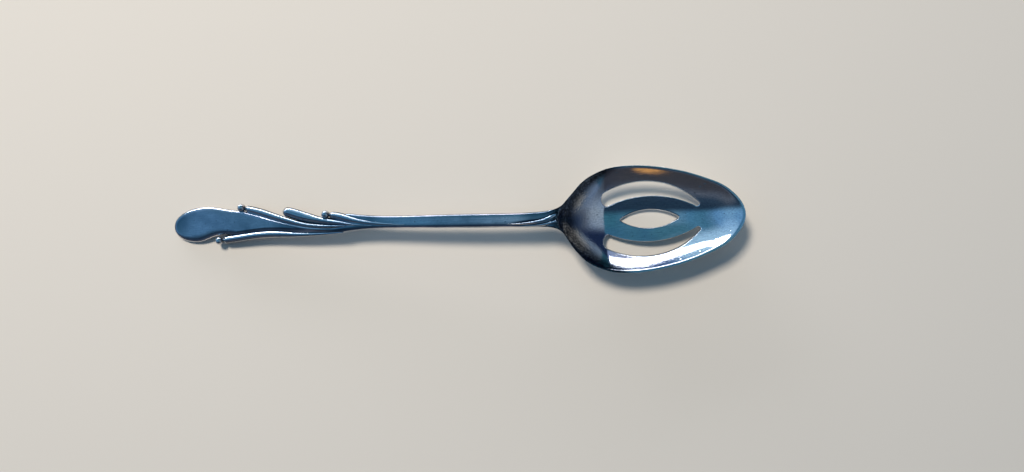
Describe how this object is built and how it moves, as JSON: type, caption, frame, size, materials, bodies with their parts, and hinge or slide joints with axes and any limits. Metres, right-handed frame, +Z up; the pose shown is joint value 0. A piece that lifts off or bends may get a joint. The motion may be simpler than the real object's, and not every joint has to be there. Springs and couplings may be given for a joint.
{
  "type": "pierced serving spoon",
  "caption": "Silver-plated serving spoon with an oval pierced bowl, a slim arched shank and a leaf-shaped end with sweeping ball-tipped reeds.",
  "frame": {"origin": "on the table that the spoon lies on, under the middle of the whole spoon", "axes": "+X from the handle's end to the bowl's tip, +Y across the bowl, +Z up out of the open bowl"},
  "size_m": [0.2106, 0.0389, 0.0125],
  "materials": {
    "bowl_silver": "polished silver plate, worn, with fine scratches along the bowl",
    "handle_silver": "polished silver plate, worn, with fine scratches along the handle",
    "reed_silver": "polished silver plate, darker in the grooves",
    "ball_silver": "polished silver plate"
  },
  "bodies": {
    "root": {"bowl": "bowl_silver", "stem": "handle_silver", "upper_reed_1": "reed_silver", "upper_reed_2": "reed_silver", "upper_reed_3": "reed_silver", "lower_reed": "reed_silver", "neck_reed_1": "reed_silver", "neck_reed_2": "reed_silver", "ball_tip_1": "ball_silver", "ball_tip_3": "ball_silver", "lower_ball_tip": "ball_silver"}
  },
  "joints": []
}
